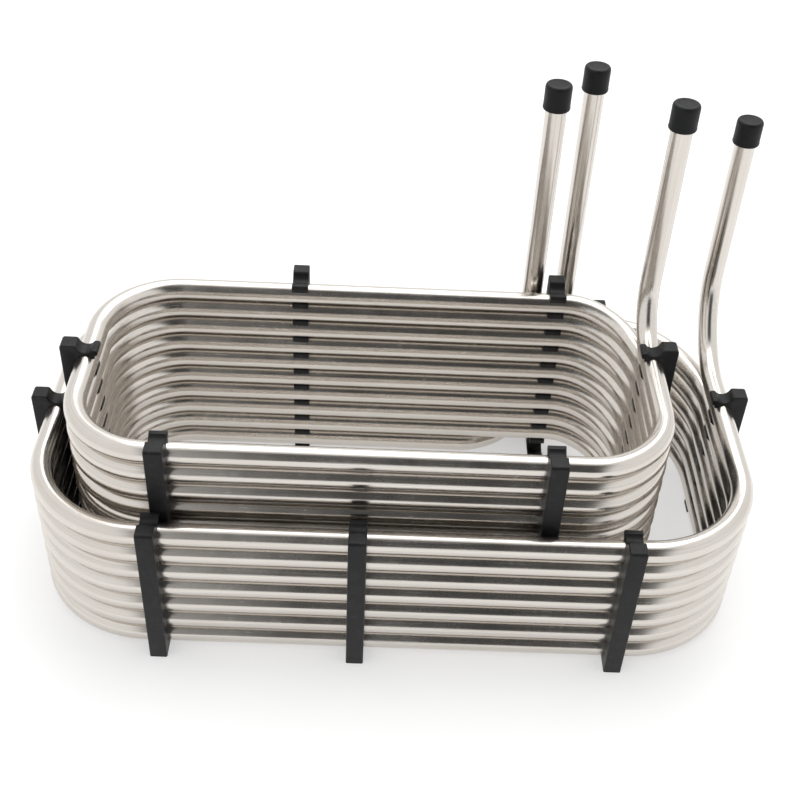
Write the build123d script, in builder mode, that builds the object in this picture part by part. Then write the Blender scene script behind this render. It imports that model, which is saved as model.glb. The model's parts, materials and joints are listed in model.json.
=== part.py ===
from build123d import *

import os
from dataclasses import dataclass
from math import cos, radians, sin, tan

# Immersion wort chiller: an inner and an outer coil of stainless tube, one nested in the other.
#
# Each coil is one length of tube wound into a rounded rectangle, top turn to bottom turn, with both
# ends bent straight up. Moulded combs stand round each coil and hold its turns a pitch apart, and a
# soft cap closes each of the four tube ends. Millimetres, +Z up, X along the coils, the feet of the
# combs on Z = 0 and the origin under the middle of the whole chiller.

os.makedirs("parts", exist_ok=True)

# ---------------------------------------------------------------- tube
tube_od = 9.52  # three-eighths inch tube
tube_wall = 0.89
pitch = 10.0  # height from one turn to the next
lowest_turn_height = 5.6  # middle of the bottom turn above the floor

# ---------------------------------------------------------------- coils, to the middle of the tube
outer_length = 305.0
outer_width = 155.0
outer_corner_r = 47.0
outer_turns = 7

inner_length = 249.5
inner_width = 114.5
inner_corner_r = 35.0
inner_turns = 10
inner_left_clearance = 1.18  # from the spines on the inner coil to the outer coil's left wall
inner_front_clearance = 0.98  # and to its front wall

# ---------------------------------------------------------------- risers
inner_top_end_height = 206.0
inner_bottom_end_height = 200.0
outer_top_end_height = 182.5
outer_bottom_end_height = 198.0
inner_top_riser_inset = 14.2  # in from the middle of the back wall
outer_top_riser_inset = 3.2
inner_bottom_riser_inset = 14.5  # in from the start of the back right corner
outer_bottom_riser_inset = 21.6
inner_top_bend_r = 24.5
outer_top_bend_r = 40.0
bottom_bend_r = 17.0
swing_bend_r = 23.0  # where the bottom turn swings out behind the wall
riser_gap = 1.9  # clear space between a bottom riser and the turns it passes

# ---------------------------------------------------------------- combs
comb_width = 7.5  # along the tube
spine_thickness = 6.0
groove_clearance = 0.1
tooth_set_in = 0.86  # a tooth stops this short of the inner side of the tube
tooth_tip_r = 0.5
prong_overhang = 0.64  # the inner prong at the top of a comb reaches this far past the tube
prong_start = 4.6  # foot of the inner prong above the middle of the top turn
prong_top = 7.3
prong_tip_r = 0.8
spine_top = 9.4  # top of the spine above the middle of the top turn
spine_top_r = 1.4
spine_edge_r = 0.6
fork_r = 3.6  # the dip between the inner prong and the spine

# places of the combs, in from the corner at the end of each straight wall
outer_front_left_inset = 6.4
outer_front_right_inset = 6.7
outer_back_left_inset = 6.4
outer_back_right_inset = 4.0
outer_middle_comb_x = -14.0  # from the middle of the coil
outer_left_comb_y = -1.4
outer_right_comb_inset = 13.9
inner_front_left_inset = 5.0
inner_front_right_inset = 13.8
inner_back_left_inset = 54.0
inner_back_right_inset = 4.0
inner_left_comb_y = 1.2
inner_right_comb_inset = 7.8

# ---------------------------------------------------------------- end caps
cap_wall = 1.25
cap_length = 11.4
cap_roof = 2.0
cap_clearance = 0.05
cap_edge_r = 1.3
cap_lip_r = 0.5

# ---------------------------------------------------------------- places worked out from the sizes
tube_r = tube_od / 2
groove_r = tube_r + groove_clearance
spine_reach = groove_r + spine_thickness
tooth_reach = tube_r - tooth_set_in
prong_reach = tube_r + prong_overhang
cap_od = 2 * (tube_r + cap_clearance + cap_wall)
riser_set_back = tube_od + riser_gap
front_reach = outer_width / 2 + spine_reach
back_reach = outer_width / 2 + max(spine_reach, riser_set_back + cap_od / 2)
outer_y = (front_reach - back_reach) / 2


@dataclass
class Coil:
    """The walls of one coil, to the middle of its tube, and the corners where they stop being straight."""

    x: float
    y: float
    length: float
    width: float
    corner_r: float
    turns: int

    def __post_init__(self):
        self.left, self.right = self.x - self.length / 2, self.x + self.length / 2
        self.front, self.back = self.y - self.width / 2, self.y + self.width / 2
        self.left_corner, self.right_corner = self.left + self.corner_r, self.right - self.corner_r
        self.back_corner = self.back - self.corner_r

    def height(self, turn):
        """Height of the middle of one turn, counted down from 1 at the top."""
        return lowest_turn_height + (self.turns - turn) * pitch


def dropping_corner(coil, z):
    """The back right corner as three short bends, which drop the tube by one pitch."""
    step = coil.corner_r * tan(radians(15))
    middle = coil.corner_r / cos(radians(15)) * sin(radians(45))
    bend_r = 0.97 * coil.corner_r
    return [
        ((coil.right_corner + step, coil.back, z), bend_r),
        ((coil.right_corner + middle, coil.back_corner + middle, z - pitch / 2), bend_r),
        ((coil.right, coil.back_corner + step, z - pitch), bend_r),
    ]


def coil_route(coil, top_end, top_bend_r, bottom_end):
    """Corner points of a coil's route with their bend radii, from the top end to the bottom end."""
    top_x, top_y, top_z = top_end
    bottom_x, bottom_y, bottom_z = bottom_end
    route = [((top_x, top_y, top_z), 0), ((top_x, top_y, coil.height(1)), top_bend_r)]
    for turn in range(1, coil.turns + 1):
        z = coil.height(turn)
        for x, y in ((coil.right, coil.front), (coil.left, coil.front), (coil.left, coil.back)):
            route.append(((x, y, z), coil.corner_r))
        if turn < coil.turns:
            route += dropping_corner(coil, z)
    z = coil.height(coil.turns)
    swing_x = bottom_x - 2.1 * riser_set_back
    route += [((swing_x, coil.back, z), swing_bend_r), ((bottom_x, bottom_y, z), bottom_bend_r)]
    route.append(((bottom_x, bottom_y, bottom_z), 0))
    return route


def coil_tube(label, route):
    """One length of tube swept along a coil's route."""
    points = [point for point, bend_r in route]
    bends = [bend_r for point, bend_r in route[1:-1]]
    with BuildPart() as tube:
        with BuildLine() as path:
            FilletPolyline(*points, radius=bends)
        with BuildSketch(Plane(origin=points[0], z_dir=(0, 0, -1))):
            Circle(tube_r)
            Circle(tube_r - tube_wall, mode=Mode.SUBTRACT)
        sweep(path=path.line)
    tube.part.label = label
    export_step(tube.part, f"parts/{label}.step")
    print(label, "is", round(sum(edge.length for edge in path.line.edges())), "mm of tube")


def comb(label, coil, x, y, outward):
    """One comb: a spine outside the wall of tube, a tooth between each turn and the next, a forked top."""
    along = Vector(*outward, 0).cross(Vector(0, 0, 1))
    top_turn = coil.height(1)
    with BuildPart() as piece:
        with BuildSketch(Plane(origin=(x, y, 0), x_dir=(*outward, 0), z_dir=along)) as profile:
            with BuildLine():
                Polyline(
                    (-tooth_reach, 0),
                    (spine_reach, 0),
                    (spine_reach, top_turn + spine_top),
                    (0, top_turn + spine_top),
                    (0, top_turn + prong_top),
                    (-prong_reach, top_turn + prong_top),
                    (-prong_reach, top_turn + prong_start),
                    (-tooth_reach, top_turn + prong_start),
                    close=True,
                )
            make_face()
            with Locations(*[(0, coil.height(turn)) for turn in range(1, coil.turns + 1)]):
                Circle(groove_r, mode=Mode.SUBTRACT)
            with Locations((0, top_turn + spine_top)):
                Circle(fork_r, mode=Mode.SUBTRACT)
            fillet(profile.vertices().group_by(Axis.X)[0], prong_tip_r)
            fillet(profile.vertices().group_by(Axis.Y)[-1], spine_top_r)
            teeth = profile.vertices().filter_by_position(Axis.X, -tooth_reach - 0.01, -tooth_reach + 0.01)
            fillet(teeth.filter_by_position(Axis.Y, tooth_tip_r, top_turn), tooth_tip_r)
        extrude(amount=comb_width / 2, both=True)
        fillet(piece.edges().filter_by(Axis.Z).group_by(SortBy.LENGTH)[-1], spine_edge_r)
    piece.part.label = label
    export_step(piece.part, f"parts/{label}.step")


def end_cap(label, tube_end):
    """One soft cap pushed over the end of a riser until the tube meets its roof."""
    x, y, top_of_tube = tube_end
    with BuildPart() as cap:
        with BuildSketch(Plane((x, y, top_of_tube + cap_roof))):
            Circle(cap_od / 2)
        extrude(amount=-cap_length)
        fillet(cap.edges().group_by(Axis.Z)[-1], cap_edge_r)
        fillet(cap.edges().group_by(Axis.Z)[0], cap_lip_r)
        with BuildSketch(Plane((x, y, top_of_tube))):
            Circle(tube_r + cap_clearance)
        extrude(amount=cap_roof - cap_length, mode=Mode.SUBTRACT)
    cap.part.label = label
    export_step(cap.part, f"parts/{label}.step")


# ---------------------------------------------------------------- outer coil
outer = Coil(0, outer_y, outer_length, outer_width, outer_corner_r, outer_turns)
outer_top_end = (outer.right, outer.back - outer_top_riser_inset, outer_top_end_height)
outer_bottom_end = (
    outer.right_corner - outer_bottom_riser_inset,
    outer.back + riser_set_back,
    outer_bottom_end_height,
)
coil_tube("outer_coil_tube", coil_route(outer, outer_top_end, outer_top_bend_r, outer_bottom_end))
end_cap("outer_top_end_cap", outer_top_end)
end_cap("outer_bottom_end_cap", outer_bottom_end)

middle_x = outer.x + outer_middle_comb_x
comb("outer_comb_front_left", outer, outer.left_corner + outer_front_left_inset, outer.front, (0, -1))
comb("outer_comb_front_middle", outer, middle_x, outer.front, (0, -1))
comb("outer_comb_front_right", outer, outer.right_corner - outer_front_right_inset, outer.front, (0, -1))
comb("outer_comb_back_left", outer, outer.left_corner + outer_back_left_inset, outer.back, (0, 1))
comb("outer_comb_back_middle", outer, middle_x, outer.back, (0, 1))
comb("outer_comb_back_right", outer, outer.right_corner - outer_back_right_inset, outer.back, (0, 1))
comb("outer_comb_left", outer, outer.left, outer.y + outer_left_comb_y, (-1, 0))
comb("outer_comb_right", outer, outer.right, outer.back_corner - outer_right_comb_inset, (1, 0))

# ---------------------------------------------------------------- inner coil
inner_x = outer.left + tube_r + inner_left_clearance + spine_reach + inner_length / 2
inner_y = outer.front + tube_r + inner_front_clearance + spine_reach + inner_width / 2
inner = Coil(inner_x, inner_y, inner_length, inner_width, inner_corner_r, inner_turns)
inner_top_end = (inner.right, inner.back - inner_top_riser_inset, inner_top_end_height)
inner_bottom_end = (
    inner.right_corner - inner_bottom_riser_inset,
    inner.back + riser_set_back,
    inner_bottom_end_height,
)
coil_tube("inner_coil_tube", coil_route(inner, inner_top_end, inner_top_bend_r, inner_bottom_end))
end_cap("inner_top_end_cap", inner_top_end)
end_cap("inner_bottom_end_cap", inner_bottom_end)

comb("inner_comb_front_left", inner, inner.left_corner + inner_front_left_inset, inner.front, (0, -1))
comb("inner_comb_front_right", inner, inner.right_corner - inner_front_right_inset, inner.front, (0, -1))
comb("inner_comb_back_left", inner, inner.left_corner + inner_back_left_inset, inner.back, (0, 1))
comb("inner_comb_back_right", inner, inner.right_corner - inner_back_right_inset, inner.back, (0, 1))
comb("inner_comb_left", inner, inner.left, inner.y + inner_left_comb_y, (-1, 0))
comb("inner_comb_right", inner, inner.right, inner.back_corner - inner_right_comb_inset, (1, 0))
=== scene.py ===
import json
import math

import bmesh
import bpy
from mathutils import Matrix, Vector

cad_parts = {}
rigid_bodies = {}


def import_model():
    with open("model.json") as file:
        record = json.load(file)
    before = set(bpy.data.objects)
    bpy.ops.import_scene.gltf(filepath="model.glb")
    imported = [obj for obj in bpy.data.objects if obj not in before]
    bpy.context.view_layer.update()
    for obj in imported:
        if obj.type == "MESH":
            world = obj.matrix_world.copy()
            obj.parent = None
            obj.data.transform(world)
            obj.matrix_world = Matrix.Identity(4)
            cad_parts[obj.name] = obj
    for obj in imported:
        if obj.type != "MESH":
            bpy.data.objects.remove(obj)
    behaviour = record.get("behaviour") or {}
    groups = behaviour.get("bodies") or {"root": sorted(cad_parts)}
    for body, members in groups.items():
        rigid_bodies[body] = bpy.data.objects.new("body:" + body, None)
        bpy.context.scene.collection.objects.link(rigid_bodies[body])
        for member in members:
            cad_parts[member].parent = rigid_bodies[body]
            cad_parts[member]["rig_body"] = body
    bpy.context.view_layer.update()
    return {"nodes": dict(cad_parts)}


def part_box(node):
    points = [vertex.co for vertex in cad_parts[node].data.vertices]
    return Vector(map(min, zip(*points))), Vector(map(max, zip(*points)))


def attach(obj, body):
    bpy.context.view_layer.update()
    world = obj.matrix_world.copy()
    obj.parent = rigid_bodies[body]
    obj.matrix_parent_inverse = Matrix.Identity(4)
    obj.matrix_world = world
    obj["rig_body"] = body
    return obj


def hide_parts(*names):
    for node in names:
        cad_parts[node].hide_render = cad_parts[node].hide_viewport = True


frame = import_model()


# ---------------------------------------------------------------- the two coils
# Each coil is one length of thin-walled stainless tube, cold drawn and bright annealed, wound round a
# former and bent up at both ends. The outer coil stands round the inner one and holds it nowhere.
MM = 0.001
OUTER_CORNER_R = 47 * MM
INNER_CORNER_R = 35 * MM
SPINE_REACH = 10.86 * MM  # from the middle of the tube to the outside of a comb
RISER_STARTS = 7 * MM  # beyond this, behind or above a coil, the tube runs upright
WELD = 0.002 * MM  # mesh points nearer than this are one
CREASE = 35  # degrees, past which an edge of a tube or a comb looks sharp
DRAW_LINE_SPACING = 0.4 * MM
DRAW_LINE_LENGTH = 60 * MM
RUBBED_PATCH = 25 * MM


def linear(hex_colour):
    """A colour written as sRGB hex, as the linear colour that a shader takes."""
    parts = [int(hex_colour[i:i + 2], 16) / 255 for i in (0, 2, 4)]
    return [c / 12.92 if c < 0.04045 else ((c + 0.055) / 1.055) ** 2.4 for c in parts] + [1.0]


def add_node(tree, kind, inputs=None, **settings):
    """Adds a shader node, sets its properties, and sets or links each of its inputs by name or place."""
    made = tree.nodes.new(kind)
    for name, value in settings.items():
        setattr(made, name, value)
    for name, value in (inputs or {}).items():
        if isinstance(value, bpy.types.NodeSocket):
            tree.links.new(value, made.inputs[name])
        else:
            made.inputs[name].default_value = value
    return made


def new_material(name):
    """A material with an empty node tree and its output node."""
    material = bpy.data.materials.new(name)
    material.use_nodes = True
    material.node_tree.nodes.clear()
    return material, material.node_tree, add_node(material.node_tree, "ShaderNodeOutputMaterial")


def stand_in(node, mesh, material):
    """Shows a finished mesh in place of one CAD node, on the node's own body."""
    data = bpy.data.meshes.new(node + "_surface")
    mesh.to_mesh(data)
    mesh.free()
    data.materials.append(material)
    piece = bpy.data.objects.new(node + "_surface", data)
    bpy.context.scene.collection.objects.link(piece)
    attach(piece, frame["nodes"][node]["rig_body"])
    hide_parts(node)


def shade(mesh, crease):
    """Shades a mesh smooth except across edges that turn by more than a crease in degrees."""
    for face in mesh.faces:
        face.smooth = True
    for edge in mesh.edges:
        edge.smooth = edge.is_manifold and edge.calc_face_angle() < math.radians(crease)


def welded(node):
    """A copy of a CAD node's mesh with its triangles joined."""
    mesh = bmesh.new()
    mesh.from_mesh(frame["nodes"][node].data)
    bmesh.ops.remove_doubles(mesh, verts=mesh.verts, dist=WELD)
    shade(mesh, CREASE)
    return mesh


def drawn_stainless(name, left_front, right_back, top, corner_r):
    """Satin stainless tube: broad soft reflections, faint draw lines along the tube, and cloudier
    patches where the former rubbed. The corners given are those of the coil, to the middle of its tube."""
    material, tree, output = new_material(name)
    place = add_node(tree, "ShaderNodeTexCoord").outputs["Object"]
    middle = (left_front + right_back) / 2
    half = (right_back - left_front) / 2
    # how far a point stands out from the rectangle that the corners turn about, the same all along a turn
    centred = add_node(tree, "ShaderNodeVectorMath", {0: place, 1: middle}, operation="SUBTRACT")
    folded = add_node(tree, "ShaderNodeVectorMath", {0: centred.outputs[0]}, operation="ABSOLUTE")
    core = Vector((half.x - corner_r, half.y - corner_r, 0))
    past = add_node(tree, "ShaderNodeVectorMath", {0: folded.outputs[0], 1: core}, operation="SUBTRACT")
    past = add_node(tree, "ShaderNodeVectorMath", {0: past.outputs[0], 1: (0, 0, 0)}, operation="MAXIMUM")
    past = add_node(tree, "ShaderNodeVectorMath", {0: past.outputs[0], 1: (1, 1, 0)}, operation="MULTIPLY")
    offset = add_node(tree, "ShaderNodeVectorMath", {0: past.outputs[0]}, operation="LENGTH")
    split = add_node(tree, "ShaderNodeSeparateXYZ", {0: place})
    along = add_node(tree, "ShaderNodeMath", {0: split.outputs["X"], 1: split.outputs["Y"]}, operation="ADD")
    on_coil = add_node(
        tree, "ShaderNodeCombineXYZ",
        {"X": offset.outputs["Value"], "Y": split.outputs["Z"], "Z": along.outputs[0]})
    above = add_node(
        tree, "ShaderNodeMath", {0: split.outputs["Z"], 1: top + RISER_STARTS}, operation="GREATER_THAN")
    behind = add_node(
        tree, "ShaderNodeMath", {0: split.outputs["Y"], 1: right_back.y + RISER_STARTS},
        operation="GREATER_THAN")
    upright = add_node(
        tree, "ShaderNodeMath", {0: above.outputs[0], 1: behind.outputs[0]}, operation="MAXIMUM")
    route = add_node(
        tree, "ShaderNodeMix", {0: upright.outputs[0], 4: on_coil.outputs[0], 5: place}, data_type="VECTOR")
    # the draw lines, coarser than the real ones so that they show
    across, lengthwise = 1 / DRAW_LINE_SPACING, 1 / DRAW_LINE_LENGTH
    lines_at = add_node(
        tree, "ShaderNodeVectorMath", {0: route.outputs[1], 1: (across, across, lengthwise)},
        operation="MULTIPLY")
    lines = add_node(tree, "ShaderNodeTexNoise", {"Vector": lines_at.outputs[0], "Scale": 1.0, "Detail": 2.0})
    patches = add_node(
        tree, "ShaderNodeTexNoise",
        {"Vector": place, "Scale": 1 / RUBBED_PATCH, "Detail": 4.0, "Roughness": 0.6})
    tone = add_node(
        tree, "ShaderNodeMix", {0: patches.outputs["Fac"], 6: linear("D6D0C8"), 7: linear("ECE9E4")},
        data_type="RGBA")
    streaked = add_node(
        tree, "ShaderNodeMix", {0: lines.outputs["Fac"], 6: tone.outputs[2], 7: linear("C9C2BA")},
        data_type="RGBA")
    rubbed = add_node(
        tree, "ShaderNodeMath", {0: patches.outputs["Fac"], 1: lines.outputs["Fac"]}, operation="MULTIPLY")
    roughness = add_node(
        tree, "ShaderNodeMapRange",
        {"Value": rubbed.outputs[0], "From Min": 0.1, "From Max": 0.45, "To Min": 0.16, "To Max": 0.3})
    relief = add_node(
        tree, "ShaderNodeBump", {"Height": lines.outputs["Fac"], "Strength": 0.2, "Distance": 0.02 * MM})
    steel = add_node(
        tree, "ShaderNodeBsdfPrincipled",
        {"Base Color": streaked.outputs[2], "Metallic": 1.0, "Roughness": roughness.outputs["Result"],
         "Normal": relief.outputs["Normal"]})
    tree.links.new(steel.outputs["BSDF"], output.inputs["Surface"])
    return material


for coil, corner_r in (("outer", OUTER_CORNER_R), ("inner", INNER_CORNER_R)):
    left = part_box(f"{coil}_comb_left")[0].x + SPINE_REACH
    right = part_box(f"{coil}_comb_right")[1].x - SPINE_REACH
    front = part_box(f"{coil}_comb_front_left")[0].y + SPINE_REACH
    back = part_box(f"{coil}_comb_back_left")[1].y - SPINE_REACH
    comb_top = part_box(f"{coil}_comb_left")[1].z
    steel = drawn_stainless(
        f"drawn_stainless_{coil}", Vector((left, front, 0)), Vector((right, back, 0)), comb_top, corner_r)
    stand_in(f"{coil}_coil_tube", welded(f"{coil}_coil_tube"), steel)


# ---------------------------------------------------------------- the combs
# Moulded strips of black polypropylene, one spine with a row of teeth, clipped over the turns from
# outside. The mould leaves them satin, with a fine spark grain and soft edges that catch the light.
COMB_EDGE = 0.3 * MM  # radius on the edges of the outline
OUTLINE_TURN = 50  # degrees, past which an edge belongs to the outline
FLAT_TURN = 0.5  # degrees, under which two faces are one flat face
MOULD_GRAIN = 0.25 * MM
SCUFF = 5 * MM


def moulded_polypropylene():
    """Black moulded polypropylene: a charcoal satin with a fine grain and faint paler scuffs."""
    material, tree, output = new_material("moulded_black_polypropylene")
    place = add_node(tree, "ShaderNodeTexCoord").outputs["Object"]
    grain = add_node(tree, "ShaderNodeTexNoise", {"Vector": place, "Scale": 1 / MOULD_GRAIN, "Detail": 3.0})
    scuffs = add_node(
        tree, "ShaderNodeTexNoise", {"Vector": place, "Scale": 1 / SCUFF, "Detail": 6.0, "Roughness": 0.7})
    worn = add_node(
        tree, "ShaderNodeMapRange", {"Value": scuffs.outputs["Fac"], "From Min": 0.5, "From Max": 0.75})
    tone = add_node(
        tree, "ShaderNodeMix", {0: worn.outputs["Result"], 6: linear("151516"), 7: linear("2A2A2B")},
        data_type="RGBA")
    roughness = add_node(
        tree, "ShaderNodeMapRange", {"Value": grain.outputs["Fac"], "To Min": 0.36, "To Max": 0.56})
    relief = add_node(
        tree, "ShaderNodeBump", {"Height": grain.outputs["Fac"], "Strength": 0.5, "Distance": 0.04 * MM})
    plastic = add_node(
        tree, "ShaderNodeBsdfPrincipled",
        {"Base Color": tone.outputs[2], "Roughness": roughness.outputs["Result"], "IOR": 1.49,
         "Specular IOR Level": 0.28,
         "Normal": relief.outputs["Normal"]})
    tree.links.new(plastic.outputs["BSDF"], output.inputs["Surface"])
    return material


def softened_comb(node):
    """A comb with the small radius that a mould puts on every edge of its outline."""
    mesh = welded(node)
    bmesh.ops.dissolve_limit(
        mesh, angle_limit=math.radians(FLAT_TURN), verts=mesh.verts, edges=mesh.edges, delimit=set())
    turned = math.radians(OUTLINE_TURN)
    outline = [edge for edge in mesh.edges if edge.is_manifold and edge.calc_face_angle() > turned]
    bmesh.ops.bevel(
        mesh, geom=outline, offset=COMB_EDGE, segments=2, profile=0.5, affect="EDGES", clamp_overlap=True,
        material=-1)
    shade(mesh, CREASE)
    return mesh


polypropylene = moulded_polypropylene()
for comb in sorted(name for name in frame["nodes"] if "_comb_" in name):
    stand_in(comb, softened_comb(comb), polypropylene)


# ---------------------------------------------------------------- the end caps
# Soft black vinyl caps, dip moulded on a pin and pushed over each tube end to keep dirt out. Dipping
# leaves a rounded shoulder, a slightly sunken top and a rolled lip at the mouth.
CAP_BORE_R = 4.81 * MM
CAP_ROOF = 2.0 * MM
CAP_STEPS = 64
CAP_CREASE = 50  # degrees, past which an edge of a cap looks sharp
MOTTLE = 2.5 * MM
SKIN_RIPPLE = 0.6 * MM


def dipped_vinyl():
    """Dip-moulded black vinyl: a soft sheen, slightly mottled and dusty."""
    material, tree, output = new_material("dip_moulded_black_vinyl")
    place = add_node(tree, "ShaderNodeTexCoord").outputs["Object"]
    mottle = add_node(tree, "ShaderNodeTexNoise", {"Vector": place, "Scale": 1 / MOTTLE, "Detail": 5.0})
    tone = add_node(
        tree, "ShaderNodeMix", {0: mottle.outputs["Fac"], 6: linear("0A0B0C"), 7: linear("17181A")},
        data_type="RGBA")
    roughness = add_node(
        tree, "ShaderNodeMapRange", {"Value": mottle.outputs["Fac"], "To Min": 0.34, "To Max": 0.6})
    skin = add_node(tree, "ShaderNodeTexNoise", {"Vector": place, "Scale": 1 / SKIN_RIPPLE, "Detail": 2.0})
    relief = add_node(
        tree, "ShaderNodeBump", {"Height": skin.outputs["Fac"], "Strength": 0.25, "Distance": 0.05 * MM})
    vinyl = add_node(
        tree, "ShaderNodeBsdfPrincipled",
        {"Base Color": tone.outputs[2], "Roughness": roughness.outputs["Result"], "IOR": 1.53,
         "Specular IOR Level": 0.22,
         "Normal": relief.outputs["Normal"]})
    tree.links.new(vinyl.outputs["BSDF"], output.inputs["Surface"])
    return material


def dipped_cap(node):
    """A cap turned round its tube: sunken top, round shoulder, faintly waisted side and rolled lip."""
    low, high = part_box(node)
    middle = Vector(((low.x + high.x) / 2, (low.y + high.y) / 2, 0))
    side = (high.x - low.x) / 2
    length = high.z - low.z
    half_section = [
        (0, length - 0.55 * MM), (side * 0.45, length - 0.5 * MM), (side * 0.62, length - 0.25 * MM),
        (side * 0.72, length - 0.02 * MM), (side * 0.8, length), (side * 0.89, length - 0.22 * MM),
        (side * 0.955, length - 0.8 * MM), (side * 0.98, length - 1.7 * MM), (side * 0.975, length * 0.5),
        (side * 0.98, 1.5 * MM), (side, 1.0 * MM), (side, 0.5 * MM), (side * 0.97, 0.1 * MM),
        (side * 0.9, 0), (CAP_BORE_R + 0.25 * MM, 0), (CAP_BORE_R, 0.3 * MM),
        (CAP_BORE_R, length - CAP_ROOF), (0, length - CAP_ROOF)]
    mesh = bmesh.new()
    points = [mesh.verts.new(middle + Vector((r, 0, low.z + z))) for r, z in half_section]
    rim = [mesh.edges.new(pair) for pair in zip(points, points[1:])]
    bmesh.ops.spin(
        mesh, geom=points + rim, cent=middle, axis=(0, 0, 1), angle=math.tau, steps=CAP_STEPS, use_merge=True)
    bmesh.ops.remove_doubles(mesh, verts=mesh.verts, dist=WELD)
    bmesh.ops.recalc_face_normals(mesh, faces=mesh.faces)
    shade(mesh, CAP_CREASE)
    return mesh


vinyl = dipped_vinyl()
for cap in sorted(name for name in frame["nodes"] if name.endswith("_cap")):
    stand_in(cap, dipped_cap(cap), vinyl)


# ---------------------------------------------------------------- floor and light
# A plain white studio table. It is as bright as paper to the eye and in the metal's reflections, and
# still takes the object's shadow.
TABLE_GLOW = 0.45
TABLE_HALF = 6.0  # metres from its middle to its edge


def white_table():
    """Matt white board that glows a little to the camera and to mirrors, so that it stays white."""
    material, tree, output = new_material("white_board")
    ray = add_node(tree, "ShaderNodeLightPath")
    seen = add_node(
        tree, "ShaderNodeMath", {0: ray.outputs["Is Camera Ray"], 1: ray.outputs["Is Glossy Ray"]},
        operation="MAXIMUM")
    seen = add_node(
        tree, "ShaderNodeMath", {0: seen.outputs[0], 1: ray.outputs["Is Transmission Ray"]},
        operation="MAXIMUM")
    glow = add_node(tree, "ShaderNodeMath", {0: seen.outputs[0], 1: TABLE_GLOW}, operation="MULTIPLY")
    board = add_node(tree, "ShaderNodeBsdfDiffuse", {"Color": linear("D2D2D2")})
    light = add_node(tree, "ShaderNodeEmission", {"Strength": glow.outputs[0]})
    both = add_node(tree, "ShaderNodeAddShader", {0: board.outputs[0], 1: light.outputs[0]})
    tree.links.new(both.outputs[0], output.inputs["Surface"])
    return material


table_mesh = bmesh.new()
bmesh.ops.create_grid(table_mesh, x_segments=1, y_segments=1, size=TABLE_HALF)
table_data = bpy.data.meshes.new("table")
table_mesh.to_mesh(table_data)
table_mesh.free()
table_data.materials.append(white_table())
table = bpy.data.objects.new("table", table_data)
bpy.context.scene.collection.objects.link(table)

# The room is white all round and above. One dark gap in front, where the onlooker stands, gives each
# turn of the tube its dark band. The gap is set by the direction that a ray leaves in.
GAP_STARTS_AT = -0.12  # how far forward a direction points where the gap begins to darken
GAP_DARK_FROM = -0.36
GAP_MIDDLE = 0.1  # how far to the right the middle of the gap points
GAP_EDGE = 0.44  # half the gap's width where it fades out
GAP_CORE = 0.2  # half the gap's width where it is darkest
GAP_BRIGHTNESS = 0.06
ROOM_BRIGHTNESS = 1.0
BACKDROP_BRIGHTNESS = 1.0  # of the room as the camera sees it
world = bpy.data.worlds.new("studio")
bpy.context.scene.world = world
world.use_nodes = True
room = world.node_tree
room.nodes.clear()
towards = add_node(room, "ShaderNodeTexCoord").outputs["Generated"]
heading = add_node(room, "ShaderNodeSeparateXYZ", {0: towards})
in_front = add_node(
    room, "ShaderNodeMapRange",
    {"Value": heading.outputs["Y"], "From Min": GAP_STARTS_AT, "From Max": GAP_DARK_FROM},
    interpolation_type="SMOOTHSTEP")
aside = add_node(room, "ShaderNodeMath", {0: heading.outputs["X"], 1: GAP_MIDDLE}, operation="SUBTRACT")
aside = add_node(room, "ShaderNodeMath", {0: aside.outputs[0]}, operation="ABSOLUTE")
narrow = add_node(
    room, "ShaderNodeMapRange", {"Value": aside.outputs[0], "From Min": GAP_EDGE, "From Max": GAP_CORE},
    interpolation_type="SMOOTHSTEP")
gap = add_node(room, "ShaderNodeMath", {0: in_front.outputs[0], 1: narrow.outputs[0]}, operation="MULTIPLY")
brightness = add_node(
    room, "ShaderNodeMapRange",
    {"Value": gap.outputs[0], "To Min": ROOM_BRIGHTNESS, "To Max": GAP_BRIGHTNESS})
ray = add_node(room, "ShaderNodeLightPath")
shown = add_node(
    room, "ShaderNodeMix",
    {0: ray.outputs["Is Camera Ray"], 2: brightness.outputs[0], 3: BACKDROP_BRIGHTNESS}, data_type="FLOAT")
sky = add_node(room, "ShaderNodeBackground", {"Color": linear("FFFFFF"), "Strength": shown.outputs[0]})
add_node(room, "ShaderNodeOutputWorld", {"Surface": sky.outputs[0]})

# a large softbox above and a little behind the chiller, which makes the top of each turn its brightest
LAMP_PLACE = Vector((0.1, 0.6, 1.3))
LAMP_AIM = Vector((0, 0, 0.05))
lamp_data = bpy.data.lights.new("overhead_softbox", "AREA")
lamp_data.shape = "RECTANGLE"
lamp_data.size = 1.2
lamp_data.size_y = 1.3
lamp_data.energy = 9.0
lamp = bpy.data.objects.new("overhead_softbox", lamp_data)
lamp.location = LAMP_PLACE
lamp.rotation_euler = (LAMP_AIM - LAMP_PLACE).to_track_quat("-Z", "Y").to_euler()
bpy.context.scene.collection.objects.link(lamp)


# ---------------------------------------------------------------- camera
# Above and in front of the chiller, turned and rolled a few degrees.
CAMERA_PLACE = Vector((-0.0073, -0.4291, 0.4338))
LENS = 55.4  # millimetres, on a sensor 36 mm wide
TURNED_LEFT = -1.23  # degrees
LOOKING_DOWN = 39.97
ROLLED = 3.0
camera_data = bpy.data.cameras.new("camera")
camera_data.sensor_width = 36
camera_data.lens = LENS
camera = bpy.data.objects.new("camera", camera_data)
turn = Matrix.Rotation(math.radians(TURNED_LEFT), 4, "Z")
tip = Matrix.Rotation(math.radians(90 - LOOKING_DOWN), 4, "X")
roll = Matrix.Rotation(math.radians(ROLLED), 4, "Z")
camera.matrix_world = Matrix.Translation(CAMERA_PLACE) @ turn @ tip @ roll
bpy.context.scene.collection.objects.link(camera)
bpy.context.scene.camera = camera
bpy.context.scene.view_settings.view_transform = "Standard"
